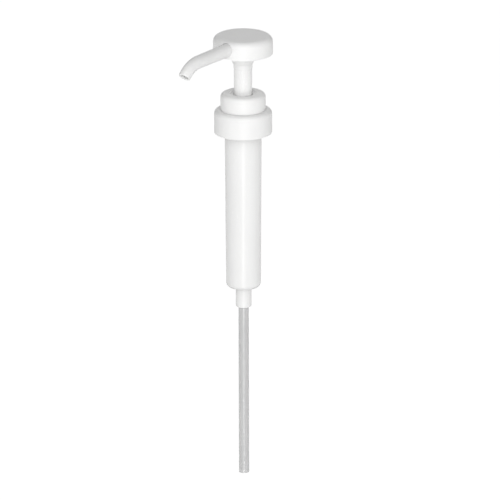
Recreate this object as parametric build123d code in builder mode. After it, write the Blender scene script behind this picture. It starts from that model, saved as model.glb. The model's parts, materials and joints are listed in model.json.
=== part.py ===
from build123d import *
import math
import os

# Condiment pump dispenser for a jug with a 38-400 neck.
# Millimetres, +Z up along the stem. The origin is on the stem's axis, in the plane of the
# gasket's underside, where the bottle's rim seats. The spout points along -Y.
os.makedirs("parts", exist_ok=True)

# --- Bottle neck (38-400 finish) and closure --------------------------------------------
THREAD_PITCH = 25.4 / 6
THREAD_MAJOR_R = 19.05
THREAD_MINOR_R = 18.15
THREAD_TURNS = 1.6
CLOSURE_R = 21.5
CLOSURE_BOTTOM = -13.1
CLOSURE_TOP = 4.6
CLOSURE_ROUND = 3.2
CLOSURE_LIP = 1.7

# --- Housing: flange, turret, cylinder and foot -----------------------------------------
GASKET_THICKNESS = 1.2
GASKET_INNER_R = 13.9
GASKET_OUTER_R = 17.7
FLANGE_R = 17.6
FLANGE_TOP = 2.8
TURRET_R = 13.0
TURRET_TOP = 11.4
TURRET_BEAD = 0.22
BORE_R = 11.4
BODY_TOP_R = 13.72
BODY_BOTTOM_R = 13.05
BODY_BOTTOM = -133.6
BODY_ROUND = 4.4
FLOOR = -131.8
FLOOR_ROUND = 3.4
VENT_R = 0.75
VENT_Z = -6.0
FOOT_R = 5.92
FOOT_BOTTOM = -149.4
FOOT_ROUND = 1.85
INLET_R = 2.3
INLET_CONE_R = 4.6
INLET_BALL_R = 4.0

# --- Dip tube ----------------------------------------------------------------------------
TUBE_R = 3.97
TUBE_BORE_R = 2.75
TUBE_TOP = -138.2
TUBE_BOTTOM = -281.4
SOCKET_TOP = -138.0
SOCKET_GAP = 0.02

# --- Collar, guide and wiper ---------------------------------------------------------------
COLLAR_R = 16.75
COLLAR_BOTTOM = 4.7
COLLAR_TOP = 17.25
COLLAR_ROUND = 3.0
RECESS_R = 9.6
RECESS_DEPTH = 1.0
GUIDE_DISC = 1.4
GUIDE_DISC_R = 12.6
GUIDE_SLEEVE_R = 8.6
GUIDE_SLEEVE_BOTTOM = -8.2
GUIDE_SKIRT_BOTTOM = 3.0
GUIDE_SKIRT_WALL = 1.8
RING_WIRE_R = 0.55
RING_GROOVE = 1.1
RING_Z = 6.0
WIPER_OUTER_R = 10.4
WIPER_HEIGHT = 1.6

# --- Stem, piston and outlet valve ---------------------------------------------------------
STEM_R = 6.8
STEM_BORE_R = 4.8
STEM_SHOULDER = 36.7
SPIGOT_R = 5.8
SPIGOT_TOP = 46.6
STOP_RING_R = 9.6
STOP_RING_TOP = -8.6
STOP_RING_HEIGHT = 2.4
PISTON_STEP = -49.0
STEM_BOTTOM = -57.0
PISTON_JOURNAL_R = 5.4
RUNNING_GAP = 0.05
PISTON_LIP = 0.9
SEAT_FLANGE_R = 8.4
SEAT_FLANGE = 2.2
SEAT_TOP = -47.0
SEAT_PASSAGE_R = 2.0
OUTLET_BALL_R = 3.0
BALL_STOP_BOTTOM = -41.4
BALL_STOP_HEIGHT = 3.0
WASHER_GAP = 0.15
WASHER_THICKNESS = 1.5
WASHER_INNER_R = 5.0
WASHER_OUTER_R = 10.6

# --- Return spring and inlet ball cage -------------------------------------------------------
SPRING_WIRE_R = 0.7
SPRING_MEAN_R = 9.0
SPRING_COILS = 13
CAGE_TOP = -120.0
CAGE_RING_R = 10.9
CAGE_RING_BORE_R = 7.4
CAGE_RING = 1.6
CAGE_FIN = 1.8
CAGE_FIN_BORE_R = 4.3
CAGE_FOOT_R = 7.8
CAGE_STOP_BOTTOM = -123.8

# --- Head and spout --------------------------------------------------------------------------
HEAD_R = 22.15
HEAD_BOTTOM = 47.7
HEAD_TOP = 61.5
HEAD_ROUND = 4.8
HEAD_WALL = 1.9
HEAD_INNER_ROUND = 3.4
BASE_RECESS = 0.5
BASE_DISC = 2.2
BOSS_LOW_R = 7.0
BOSS_RING_R = 7.3
BOSS_R = 8.2
BOSS_STEP_LOW = 39.8
BOSS_STEP_HIGH = 41.3
CHAMBER_TOP = 57.6
SPOUT_Z = 54.9
SPOUT_INNER_R = 5.4
SPOUT_ROOT_R = 5.25
SPOUT_BEND_START = 57.2
SPOUT_BEND_START_R = 4.85
SPOUT_TIP_R = 4.5
SPOUT_BEND_RADIUS = 24.0
SPOUT_BEND_ANGLE = 46.0
SPOUT_BORE_R = 3.0
NOTCH_GAP = 0.12
NOTCH_START = 15.65

EPS = 0.1


def turn(*outline):
    """Revolve a closed outline of (radius, height) points about Z in the current part."""
    with BuildSketch(Plane.XZ) as section:
        with BuildLine():
            Polyline(*outline, close=True)
        make_face()
    revolve(section.sketch, axis=Axis.Z)


def circle_edges_at(part, radius, height):
    """Circular edges of a part about Z with this radius at this height."""
    return [
        edge
        for edge in part.edges().filter_by(GeomType.CIRCLE)
        if abs(edge.radius - radius) < 0.01 and abs(edge.arc_center.Z - height) < 0.01
    ]


def finish(part, label):
    """Name a finished piece and write it."""
    part.label = label
    export_step(part, f"parts/{label}.step")


# --- Pump cylinder: flange, turret, bore, inlet seat and tube socket -------------------------
with BuildPart() as pump_cylinder:
    turn(
        (BORE_R, TURRET_TOP),
        (TURRET_R, TURRET_TOP),
        (TURRET_R, FLANGE_TOP),
        (FLANGE_R, FLANGE_TOP),
        (FLANGE_R, GASKET_THICKNESS),
        (BODY_TOP_R, GASKET_THICKNESS),
        (BODY_TOP_R, CLOSURE_BOTTOM),
        (BODY_BOTTOM_R, BODY_BOTTOM),
        (FOOT_R, BODY_BOTTOM),
        (FOOT_R, FOOT_BOTTOM),
        (TUBE_R + SOCKET_GAP, FOOT_BOTTOM),
        (TUBE_R + SOCKET_GAP, SOCKET_TOP),
        (INLET_R, SOCKET_TOP),
        (INLET_R, FLOOR - (INLET_CONE_R - INLET_R)),
        (INLET_CONE_R, FLOOR),
        (BORE_R, FLOOR),
    )
    fillet(circle_edges_at(pump_cylinder.part, BODY_BOTTOM_R, BODY_BOTTOM), BODY_ROUND)
    fillet(circle_edges_at(pump_cylinder.part, BORE_R, FLOOR), FLOOR_ROUND)
    fillet(circle_edges_at(pump_cylinder.part, FOOT_R, FOOT_BOTTOM), FOOT_ROUND)
    fillet(circle_edges_at(pump_cylinder.part, FOOT_R, BODY_BOTTOM), 0.6)
    fillet(circle_edges_at(pump_cylinder.part, FLANGE_R, FLANGE_TOP), 0.4)
    chamfer(circle_edges_at(pump_cylinder.part, BORE_R, TURRET_TOP), 0.4)
    # Snap bead that the collar clicks under.
    with BuildSketch(Plane.XZ) as bead:
        with Locations((TURRET_R, TURRET_TOP - 2.0)):
            Ellipse(TURRET_BEAD, 0.8)
    revolve(bead.sketch, axis=Axis.Z)
    # Vent that lets air back into the jug, under the closure.
    with BuildSketch(Plane.XZ.offset(-BODY_TOP_R - 1)) as vent:
        with Locations((0, VENT_Z)):
            Circle(VENT_R)
    extrude(vent.sketch, amount=4.5, mode=Mode.SUBTRACT)
finish(pump_cylinder.part, "pump_cylinder")

# --- Bottle gasket ----------------------------------------------------------------------------
with BuildPart() as bottle_gasket:
    turn(
        (GASKET_INNER_R, 0),
        (GASKET_OUTER_R, 0),
        (GASKET_OUTER_R, GASKET_THICKNESS),
        (GASKET_INNER_R, GASKET_THICKNESS),
    )
finish(bottle_gasket.part, "bottle_gasket")

# --- Closure cap: plain skirt, internal thread, hole for the turret ---------------------------
closure_ceiling = CLOSURE_TOP - CLOSURE_LIP
closure_hole_r = TURRET_R + 0.3
with BuildPart() as closure_cap:
    turn(
        (closure_hole_r, CLOSURE_TOP),
        (CLOSURE_R, CLOSURE_TOP),
        (CLOSURE_R, CLOSURE_BOTTOM),
        (THREAD_MAJOR_R, CLOSURE_BOTTOM),
        (THREAD_MAJOR_R, closure_ceiling),
        (closure_hole_r, closure_ceiling),
    )
    fillet(circle_edges_at(closure_cap.part, CLOSURE_R, CLOSURE_TOP), CLOSURE_ROUND)
    fillet(circle_edges_at(closure_cap.part, CLOSURE_R, CLOSURE_BOTTOM), 0.3)
    chamfer(circle_edges_at(closure_cap.part, THREAD_MAJOR_R, CLOSURE_BOTTOM), 0.5)
    chamfer(circle_edges_at(closure_cap.part, closure_hole_r, CLOSURE_TOP), 0.3)
    # One rib of buttress-free trapezoid section, wound on the inside of the skirt.
    with BuildLine() as thread_path:
        Helix(
            pitch=THREAD_PITCH,
            height=THREAD_PITCH * THREAD_TURNS,
            radius=THREAD_MAJOR_R,
            center=(0, 0, CLOSURE_BOTTOM + 2.2),
        )
    thread_depth = THREAD_MAJOR_R - THREAD_MINOR_R
    with BuildSketch(Plane(thread_path.line @ 0, x_dir=(-1, 0, 0), z_dir=thread_path.line % 0)) as rib:
        with BuildLine():
            Polyline(
                (-0.3, -1.1),
                (thread_depth, -0.4),
                (thread_depth, 0.4),
                (-0.3, 1.1),
                close=True,
            )
        make_face()
    sweep(rib.sketch, path=thread_path.line, is_frenet=True)
finish(closure_cap.part, "closure_cap")

# --- Collar: locks the guide and wiper on the turret -------------------------------------------
wiper_bottom = TURRET_TOP + GUIDE_DISC
collar_ceiling = wiper_bottom + WIPER_HEIGHT
collar_bore_r = TURRET_R + 0.05
with BuildPart() as collar:
    turn(
        (STEM_R + 0.35, COLLAR_TOP - RECESS_DEPTH),
        (RECESS_R, COLLAR_TOP - RECESS_DEPTH),
        (RECESS_R + 0.4, COLLAR_TOP),
        (COLLAR_R, COLLAR_TOP),
        (COLLAR_R, COLLAR_BOTTOM),
        (collar_bore_r, COLLAR_BOTTOM),
        (collar_bore_r, collar_ceiling),
        (STEM_R + 0.35, collar_ceiling),
    )
    fillet(circle_edges_at(collar.part, COLLAR_R, COLLAR_TOP), COLLAR_ROUND)
    fillet(circle_edges_at(collar.part, COLLAR_R, COLLAR_BOTTOM), 0.25)
    fillet(circle_edges_at(collar.part, RECESS_R + 0.4, COLLAR_TOP), 0.25)
    with BuildSketch(Plane.XZ) as bead_groove:
        with Locations((collar_bore_r, TURRET_TOP - 2.0)):
            Ellipse(TURRET_BEAD + 0.05, 0.9)
    revolve(bead_groove.sketch, axis=Axis.Z, mode=Mode.SUBTRACT)
finish(collar.part, "collar")

# --- Stem guide: a disc on the turret, a sleeve round the stem, a skirt in the bore -----------
guide_bore_r = STEM_R + 0.08
skirt_r = BORE_R - 0.05
with BuildPart() as stem_guide:
    turn(
        (guide_bore_r, GUIDE_SLEEVE_BOTTOM),
        (GUIDE_SLEEVE_R, GUIDE_SLEEVE_BOTTOM),
        (GUIDE_SLEEVE_R, TURRET_TOP),
        (skirt_r - GUIDE_SKIRT_WALL, TURRET_TOP),
        (skirt_r - GUIDE_SKIRT_WALL, GUIDE_SKIRT_BOTTOM),
        (skirt_r, GUIDE_SKIRT_BOTTOM),
        (skirt_r, RING_Z - RING_WIRE_R),
        (skirt_r - RING_GROOVE, RING_Z - RING_WIRE_R),
        (skirt_r - RING_GROOVE, RING_Z + RING_WIRE_R),
        (skirt_r, RING_Z + RING_WIRE_R),
        (skirt_r, TURRET_TOP),
        (GUIDE_DISC_R, TURRET_TOP),
        (GUIDE_DISC_R, wiper_bottom),
        (guide_bore_r, wiper_bottom),
    )
    chamfer(circle_edges_at(stem_guide.part, guide_bore_r, GUIDE_SLEEVE_BOTTOM), 0.4)
finish(stem_guide.part, "stem_guide")

# --- O-ring between the guide's skirt and the turret -------------------------------------------
with BuildPart() as guide_o_ring:
    with BuildSketch(Plane.XZ) as ring_section:
        with Locations((skirt_r - RING_WIRE_R + 0.03, RING_Z)):
            Circle(RING_WIRE_R - 0.01)
    revolve(ring_section.sketch, axis=Axis.Z)
finish(guide_o_ring.part, "guide_o_ring")

# --- Stem wiper: soft ring with an angled lip ---------------------------------------------------
wiper_lip_r = STEM_R + 0.03
with BuildPart() as stem_wiper:
    turn(
        (wiper_lip_r + 1.0, wiper_bottom),
        (WIPER_OUTER_R, wiper_bottom),
        (WIPER_OUTER_R, wiper_bottom + WIPER_HEIGHT),
        (wiper_lip_r, wiper_bottom + WIPER_HEIGHT),
        (wiper_lip_r, wiper_bottom + WIPER_HEIGHT - 0.5),
        (wiper_lip_r + 1.0, wiper_bottom + 0.5),
    )
finish(stem_wiper.part, "stem_wiper")

# --- Stem: hollow piston rod with a stop ring, a spigot for the head and a piston journal -------
with BuildPart() as pump_stem:
    turn(
        (STEM_BORE_R, SPIGOT_TOP),
        (SPIGOT_R, SPIGOT_TOP),
        (SPIGOT_R, SPIGOT_TOP - 2.0),
        (SPIGOT_R - 0.6, SPIGOT_TOP - 2.0),
        (SPIGOT_R - 0.6, SPIGOT_TOP - 3.4),
        (SPIGOT_R, SPIGOT_TOP - 3.4),
        (SPIGOT_R, STEM_SHOULDER),
        (STEM_R, STEM_SHOULDER),
        (STEM_R, STOP_RING_TOP),
        (STOP_RING_R, STOP_RING_TOP),
        (STOP_RING_R, STOP_RING_TOP - STOP_RING_HEIGHT),
        (STEM_R, STOP_RING_TOP - STOP_RING_HEIGHT),
        (STEM_R, PISTON_STEP),
        (PISTON_JOURNAL_R, PISTON_STEP),
        (PISTON_JOURNAL_R, STEM_BOTTOM),
        (STEM_BORE_R, STEM_BOTTOM),
    )
    chamfer(circle_edges_at(pump_stem.part, STOP_RING_R, STOP_RING_TOP - STOP_RING_HEIGHT), 0.8)
    chamfer(circle_edges_at(pump_stem.part, SPIGOT_R, SPIGOT_TOP), 0.4)
finish(pump_stem.part, "pump_stem")

# --- O-ring in the spigot's groove ----------------------------------------------------------------
with BuildPart() as stem_o_ring:
    with BuildSketch(Plane.XZ) as stem_ring_section:
        with Locations((SPIGOT_R - 0.27, SPIGOT_TOP - 2.7)):
            Ellipse(0.3, 0.66)
    revolve(stem_ring_section.sketch, axis=Axis.Z)
finish(stem_o_ring.part, "stem_o_ring")

# --- Outlet valve: seat plug in the stem's lower end, ball, and ball stop -------------------------
with BuildPart() as outlet_valve_seat:
    turn(
        (SEAT_PASSAGE_R, STEM_BOTTOM - SEAT_FLANGE),
        (SEAT_FLANGE_R, STEM_BOTTOM - SEAT_FLANGE),
        (SEAT_FLANGE_R, STEM_BOTTOM),
        (STEM_BORE_R - 0.03, STEM_BOTTOM),
        (STEM_BORE_R - 0.03, SEAT_TOP),
        (STEM_BORE_R - 0.8, SEAT_TOP),
        (SEAT_PASSAGE_R, SEAT_TOP - (STEM_BORE_R - 0.8 - SEAT_PASSAGE_R)),
    )
    chamfer(circle_edges_at(outlet_valve_seat.part, SEAT_PASSAGE_R, STEM_BOTTOM - SEAT_FLANGE), 0.8)
    fillet(circle_edges_at(outlet_valve_seat.part, SEAT_FLANGE_R, STEM_BOTTOM - SEAT_FLANGE), 0.5)
finish(outlet_valve_seat.part, "outlet_valve_seat")

seat_cone_bottom = SEAT_TOP - (STEM_BORE_R - 0.8 - SEAT_PASSAGE_R)
outlet_touch_r = OUTLET_BALL_R * math.sin(math.radians(45))
outlet_ball_z = seat_cone_bottom + (outlet_touch_r - SEAT_PASSAGE_R) + outlet_touch_r + 0.02
with BuildPart() as outlet_ball:
    with Locations((0, 0, outlet_ball_z)):
        Sphere(OUTLET_BALL_R)
finish(outlet_ball.part, "outlet_ball")

with BuildPart() as outlet_ball_stop:
    with BuildSketch(Plane.XY.offset(BALL_STOP_BOTTOM)):
        Circle(STEM_BORE_R - 0.03)
        Circle(STEM_BORE_R - 0.9, mode=Mode.SUBTRACT)
        Rectangle(2 * STEM_BORE_R - 1.2, 1.4)
        Rectangle(1.4, 2 * STEM_BORE_R - 1.2)
    extrude(amount=BALL_STOP_HEIGHT)
finish(outlet_ball_stop.part, "outlet_ball_stop")

# --- Piston: soft cup with a lip at each end, free to turn on the stem's journal ------------------
piston_top = PISTON_STEP - 0.1
piston_bottom = STEM_BOTTOM + 0.1
piston_bore_r = PISTON_JOURNAL_R + RUNNING_GAP
piston_lip_r = BORE_R - RUNNING_GAP
with BuildPart() as piston_seal:
    turn(
        (piston_bore_r, piston_top),
        (SEAT_FLANGE_R + 0.4, piston_top),
        (SEAT_FLANGE_R + 1.2, piston_top - 2.2),
        (piston_lip_r - PISTON_LIP, piston_top),
        (piston_lip_r - 0.25, piston_top),
        (piston_lip_r, piston_top - 1.1),
        (piston_lip_r - 0.5, piston_top - 3.0),
        (piston_lip_r - 0.5, piston_bottom + 3.0),
        (piston_lip_r, piston_bottom + 1.1),
        (piston_lip_r - 0.25, piston_bottom),
        (piston_lip_r - PISTON_LIP, piston_bottom),
        (SEAT_FLANGE_R + 1.2, piston_bottom + 2.2),
        (SEAT_FLANGE_R + 0.4, piston_bottom),
        (piston_bore_r, piston_bottom),
    )
finish(piston_seal.part, "piston_seal")

# --- Thrust washer: lets the head turn without winding the spring ---------------------------------
washer_top = STEM_BOTTOM - SEAT_FLANGE - WASHER_GAP
spring_top = washer_top - WASHER_THICKNESS
with BuildPart() as thrust_washer:
    turn(
        (WASHER_INNER_R, washer_top),
        (WASHER_OUTER_R, washer_top),
        (WASHER_OUTER_R, spring_top),
        (SPRING_MEAN_R - SPRING_WIRE_R - 0.3, spring_top),
        (SPRING_MEAN_R - SPRING_WIRE_R - 0.5, spring_top - 2.0),
        (WASHER_INNER_R, spring_top - 2.0),
    )
    fillet(circle_edges_at(thrust_washer.part, WASHER_OUTER_R, washer_top), 0.4)
finish(thrust_washer.part, "thrust_washer")

# --- Return spring: compression helix with ground ends --------------------------------------------
spring_height = spring_top - CAGE_TOP
spring_pitch = spring_height / SPRING_COILS
with BuildPart() as return_spring:
    with BuildLine() as coil:
        Helix(
            pitch=spring_pitch,
            height=spring_height + spring_pitch,
            radius=SPRING_MEAN_R,
            center=(0, 0, CAGE_TOP - spring_pitch / 2),
        )
    with BuildSketch(Plane(coil.line @ 0, z_dir=coil.line % 0)) as wire:
        Circle(SPRING_WIRE_R)
    sweep(wire.sketch, path=coil.line, is_frenet=True)
    with BuildSketch(Plane.XY.offset(CAGE_TOP + EPS / 10)) as ground_ends:
        Circle(BORE_R)
    extrude(ground_ends.sketch, amount=spring_height - EPS / 5, mode=Mode.INTERSECT)
finish(return_spring.part, "return_spring")

# --- Inlet ball cage: four fins, a spring seat ring and a stop over the ball -----------------------
with BuildPart() as inlet_ball_cage:
    with BuildSketch(Plane.XY.offset(CAGE_TOP - CAGE_RING)):
        Circle(CAGE_RING_R)
        Circle(CAGE_RING_BORE_R, mode=Mode.SUBTRACT)
    extrude(amount=CAGE_RING)
    for side in range(4):
        # Each fin's side view: narrow foot on the floor, full width above the floor's fillet.
        with BuildSketch(Plane.XZ.rotated((0, 0, 45 + 90 * side))) as fin:
            with BuildLine():
                Polyline(
                    (CAGE_FIN_BORE_R, FLOOR),
                    (CAGE_FOOT_R, FLOOR),
                    (CAGE_RING_R, FLOOR + FLOOR_ROUND + 0.2),
                    (CAGE_RING_R, CAGE_TOP - CAGE_RING),
                    (CAGE_RING_BORE_R, CAGE_TOP - CAGE_RING / 2),
                    (0, CAGE_TOP - CAGE_RING),
                    (0, CAGE_STOP_BOTTOM),
                    (CAGE_FIN_BORE_R, CAGE_STOP_BOTTOM),
                    close=True,
                )
            make_face()
        extrude(fin.sketch, amount=CAGE_FIN / 2, both=True)
    # Four small pegs that centre the spring's bottom coil.
    with BuildSketch(Plane.XY.offset(CAGE_TOP)):
        with PolarLocations(SPRING_MEAN_R - SPRING_WIRE_R - 0.8, 4, start_angle=45):
            Circle(0.5)
    extrude(amount=2.0)
finish(inlet_ball_cage.part, "inlet_ball_cage")

inlet_touch_r = INLET_BALL_R * math.sin(math.radians(45))
inlet_cone_bottom = FLOOR - (INLET_CONE_R - INLET_R)
inlet_ball_z = inlet_cone_bottom + (inlet_touch_r - INLET_R) + inlet_touch_r + 0.02
with BuildPart() as inlet_ball:
    with Locations((0, 0, inlet_ball_z)):
        Sphere(INLET_BALL_R)
finish(inlet_ball.part, "inlet_ball")

# --- Dip tube: plain extruded tube, square-cut ------------------------------------------------------
with BuildPart() as dip_tube:
    with BuildSketch(Plane.XY.offset(TUBE_BOTTOM)):
        Circle(TUBE_R)
        Circle(TUBE_BORE_R, mode=Mode.SUBTRACT)
    extrude(amount=TUBE_TOP - TUBE_BOTTOM)
finish(dip_tube.part, "dip_tube")

# --- Spout body: head base disc, boss for the stem, and the spout in one moulding -------------------
base_bottom = HEAD_BOTTOM + BASE_RECESS
head_inner_r = HEAD_R - HEAD_WALL
base_r = head_inner_r - 0.1
bend_angle = math.radians(SPOUT_BEND_ANGLE)
bend_centre_z = SPOUT_Z - SPOUT_BEND_RADIUS
bend_mid = bend_angle / 2
tip_reach = SPOUT_BEND_START + SPOUT_BEND_RADIUS * math.sin(bend_angle)
tip_z = bend_centre_z + SPOUT_BEND_RADIUS * math.cos(bend_angle)
# Section plane at the end of the straight run, and at the tip, both facing along the flow.
bend_plane = Plane((0, -SPOUT_BEND_START, SPOUT_Z), x_dir=(1, 0, 0), z_dir=(0, -1, 0))
tip_plane = Plane(
    (0, -tip_reach, tip_z),
    x_dir=(1, 0, 0),
    z_dir=(0, -math.cos(bend_angle), -math.sin(bend_angle)),
)
root_plane = Plane((0, 0, SPOUT_Z), x_dir=(1, 0, 0), z_dir=(0, -1, 0))

with BuildPart() as spout_body:
    # Boss and base disc.
    turn(
        (0, base_bottom + BASE_DISC),
        (0, CHAMBER_TOP + 1.5),
        (BOSS_R - 0.6, CHAMBER_TOP + 1.5),
        (BOSS_R - 0.3, base_bottom + BASE_DISC),
        (base_r, base_bottom + BASE_DISC),
        (base_r, base_bottom),
        (BOSS_R + 0.15, base_bottom),
        (BOSS_R, BOSS_STEP_HIGH),
        (BOSS_RING_R, BOSS_STEP_LOW),
        (BOSS_LOW_R, STEM_SHOULDER),
        (0, STEM_SHOULDER),
    )
    fillet(circle_edges_at(spout_body.part, BOSS_R + 0.15, base_bottom), 1.2)
    fillet(circle_edges_at(spout_body.part, BOSS_RING_R, BOSS_STEP_LOW), 0.35)
    fillet(circle_edges_at(spout_body.part, BOSS_R, BOSS_STEP_HIGH), 0.35)
    fillet(circle_edges_at(spout_body.part, BOSS_LOW_R, STEM_SHOULDER), 0.2)
    # Straight run of the spout, tapering from the boss to the start of the bend.
    with BuildSketch(root_plane):
        Circle(SPOUT_INNER_R)
    with BuildSketch(bend_plane):
        Circle(SPOUT_BEND_START_R)
    loft()
    # Curved tip.
    with BuildLine() as bend_path:
        ThreePointArc(
            (0, -SPOUT_BEND_START, SPOUT_Z),
            (
                0,
                -SPOUT_BEND_START - SPOUT_BEND_RADIUS * math.sin(bend_mid),
                bend_centre_z + SPOUT_BEND_RADIUS * math.cos(bend_mid),
            ),
            (0, -tip_reach, tip_z),
        )
    with BuildSketch(bend_plane) as bend_start:
        Circle(SPOUT_BEND_START_R)
    with BuildSketch(tip_plane) as bend_end:
        Circle(SPOUT_TIP_R)
    sweep([bend_start.sketch, bend_end.sketch], path=bend_path.line, multisection=True)
    # Saddle that fills the cap's notch under the spout.
    with BuildSketch(Plane.XY.offset(base_bottom)) as saddle:
        Circle(HEAD_R - 0.15)
        Circle(HEAD_R - 3.2, mode=Mode.SUBTRACT)
        with Locations((0, -HEAD_R)):
            Rectangle(2 * SPOUT_ROOT_R, 8, mode=Mode.INTERSECT)
    extrude(saddle.sketch, amount=SPOUT_Z - base_bottom)
    # Flat on top of the spout's inner run, under the cap's ceiling.
    with BuildSketch(Plane.XY.offset(HEAD_TOP - HEAD_WALL - 0.15)) as under_ceiling:
        Circle(NOTCH_START + 0.65)
    extrude(under_ceiling.sketch, amount=HEAD_WALL, mode=Mode.SUBTRACT)
    # Socket for the stem's spigot, chamber above it, and the spout's bore.
    with BuildSketch(Plane.XY.offset(STEM_SHOULDER)) as socket:
        Circle(SPIGOT_R + 0.04)
    extrude(socket.sketch, amount=SPIGOT_TOP + 0.4 - STEM_SHOULDER, mode=Mode.SUBTRACT)
    with BuildSketch(Plane.XY.offset(SPIGOT_TOP)) as chamber:
        Circle(STEM_BORE_R)
    extrude(chamber.sketch, amount=CHAMBER_TOP - SPIGOT_TOP, mode=Mode.SUBTRACT)
    with BuildSketch(root_plane) as bore_start:
        Circle(SPOUT_BORE_R)
    extrude(bore_start.sketch, amount=SPOUT_BEND_START, mode=Mode.SUBTRACT)
    with BuildSketch(bend_plane) as bore_bend:
        Circle(SPOUT_BORE_R)
    sweep(bore_bend.sketch, path=bend_path.line, mode=Mode.SUBTRACT)
finish(spout_body.part, "spout_body")

# --- Head cap: shell over the base disc, notched for the spout ---------------------------------------
with BuildPart() as head_cap:
    turn(
        (0, HEAD_TOP),
        (HEAD_R, HEAD_TOP),
        (HEAD_R, HEAD_BOTTOM),
        (head_inner_r, HEAD_BOTTOM),
        (head_inner_r, HEAD_TOP - HEAD_WALL),
        (0, HEAD_TOP - HEAD_WALL),
    )
    fillet(circle_edges_at(head_cap.part, HEAD_R, HEAD_TOP), HEAD_ROUND)
    fillet(circle_edges_at(head_cap.part, head_inner_r, HEAD_TOP - HEAD_WALL), HEAD_INNER_ROUND)
    fillet(circle_edges_at(head_cap.part, HEAD_R, HEAD_BOTTOM), 0.35)
    # Notch: a slot from the bottom edge with a round top that fits over the spout's root.
    notch_r = SPOUT_ROOT_R + NOTCH_GAP
    with BuildSketch(Plane.XZ.offset(NOTCH_START)) as notch:
        with Locations((0, SPOUT_Z)):
            Circle(notch_r)
        with Locations((0, HEAD_BOTTOM - 1)):
            Rectangle(2 * notch_r, SPOUT_Z - HEAD_BOTTOM + 1, align=(Align.CENTER, Align.MIN))
    extrude(notch.sketch, amount=HEAD_R + 1 - NOTCH_START, mode=Mode.SUBTRACT)
finish(head_cap.part, "head_cap")
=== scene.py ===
import json
import math

import bmesh
import bpy
from mathutils import Matrix, Vector


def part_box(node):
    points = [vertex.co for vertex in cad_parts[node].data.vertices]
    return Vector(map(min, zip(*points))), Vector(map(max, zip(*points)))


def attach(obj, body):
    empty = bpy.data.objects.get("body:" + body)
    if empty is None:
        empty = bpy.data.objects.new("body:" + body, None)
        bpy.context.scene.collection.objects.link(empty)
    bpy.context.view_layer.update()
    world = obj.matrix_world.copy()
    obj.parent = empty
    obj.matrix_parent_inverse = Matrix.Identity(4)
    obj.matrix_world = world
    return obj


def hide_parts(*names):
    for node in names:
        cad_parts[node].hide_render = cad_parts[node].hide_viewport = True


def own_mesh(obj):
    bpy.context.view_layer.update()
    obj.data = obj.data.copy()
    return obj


# Condiment pump dispenser. Lengths are millimetres, in the CAD model's frame: +Z up along the
# stem, spout along -Y. Meshes are turned into metres when they are written.
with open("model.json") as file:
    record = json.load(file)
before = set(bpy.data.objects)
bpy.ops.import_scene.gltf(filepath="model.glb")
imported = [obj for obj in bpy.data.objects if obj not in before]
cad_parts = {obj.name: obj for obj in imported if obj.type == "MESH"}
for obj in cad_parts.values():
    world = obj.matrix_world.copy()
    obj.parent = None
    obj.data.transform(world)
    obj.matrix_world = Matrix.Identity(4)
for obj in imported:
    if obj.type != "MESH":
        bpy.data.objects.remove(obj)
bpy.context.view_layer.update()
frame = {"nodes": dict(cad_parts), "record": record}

MM = 0.001
SHARP_ANGLE = math.radians(32)

# Segments of a turned piece: large or detailed ones, and small plain ones.
FINE = 192
COARSE = 96

# Tolerances: what is merged or removed as a mesh is written, and after a boolean.
WELD = 1e-4
TINY_EDGE = 1e-5
SAME_PLACE = 1e-6
SLIVER = 5e-4

# How far a cutting tool reaches past what it cuts.
OVERCUT = 1.0

# The share of a side that one rounded corner may take, and an arc's steps per radian.
CORNER_ROOM = 0.49
LARGE_ARC_STEPS = 6
SMALL_ARC_STEPS = 3

# --- Head and spout
HEAD_WALL = 1.9
HEAD_ROUND = 4.8
HEAD_INNER_ROUND = 3.4
HEAD_FIT = 0.15
BASE_RECESS = 0.5
BASE_DISC = 2.2
BOSS_LOW_R = 7.0
BOSS_RING_R = 7.3
BOSS_R = 8.2
BOSS_STEP_LOW = 39.8
BOSS_STEP_HIGH = 41.3
BOSS_FOOT = 0.15
HUB_SLOPE = 0.3
CHAMBER_TOP = 57.6
CHAMBER_ROOF = 1.5
CHAMBER_ROUND = 0.6
SPOUT_Z = 54.9
SPOUT_START = 4.0
SPOUT_INNER_R = 5.4
SPOUT_ROOT_R = 5.25
BEND_START = 57.2
BEND_START_R = 4.85
BEND_RADIUS = 24.0
BEND_ANGLE = math.radians(46)
TIP_R = 4.5
TIP_ROUND = 0.45
SPOUT_BORE_R = 3.0
SPOUT_SIDES = 72
BORE_SIDES = 48
STRAIGHT_STEPS = 12
BEND_STEPS = 28
LIP_STEPS = 6
BORE_LIP_STEPS = 5
NOTCH_GAP = 0.12
NOTCH_START = 15.65
NOTCH_STEPS = 48
SADDLE_DEPTH = 3.2
SADDLE_STEPS = 24
CEILING_INSET = 0.65
EJECTOR_R = 1.6
EJECTOR_CIRCLE_R = 14.2
EJECTOR_DEPTH = 0.12

# --- Stem, piston and outlet valve
STEM_R = 6.8
STEM_BORE_R = 4.8
SPIGOT_R = 5.8
SPIGOT_GAP = 0.04
SPIGOT_HEADROOM = 0.4
SPIGOT_GROOVE = 0.6
SPIGOT_GROOVE_DROP = 2.0
SPIGOT_GROOVE_HEIGHT = 1.4
STEM_RING_HALF = 0.3
STEM_SHOULDER = 36.7
STOP_RING_R = 9.6
STOP_RING_TOP = -8.6
STOP_RING_HEIGHT = 2.4
STOP_RING_CHAMFER = 0.8
PISTON_STEP = -49.0
JOURNAL_R = 5.4
RUNNING_GAP = 0.05
PISTON_LIP = 0.9
LIP_TAPER = 0.25
LIP_HEIGHT = 1.1
CUP_HUB = 0.4
CUP_ROOT = 1.2
CUP_DEPTH = 2.2
CUP_WAIST = 0.5
CUP_WAIST_DROP = 3.0
SEAT_FIT = 0.03
SEAT_FLANGE_R = 8.4
SEAT_FLANGE = 2.2
SEAT_PASSAGE_R = 2.0
SEAT_LIP = 0.8
SEAT_CHAMFER = 0.8
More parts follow.
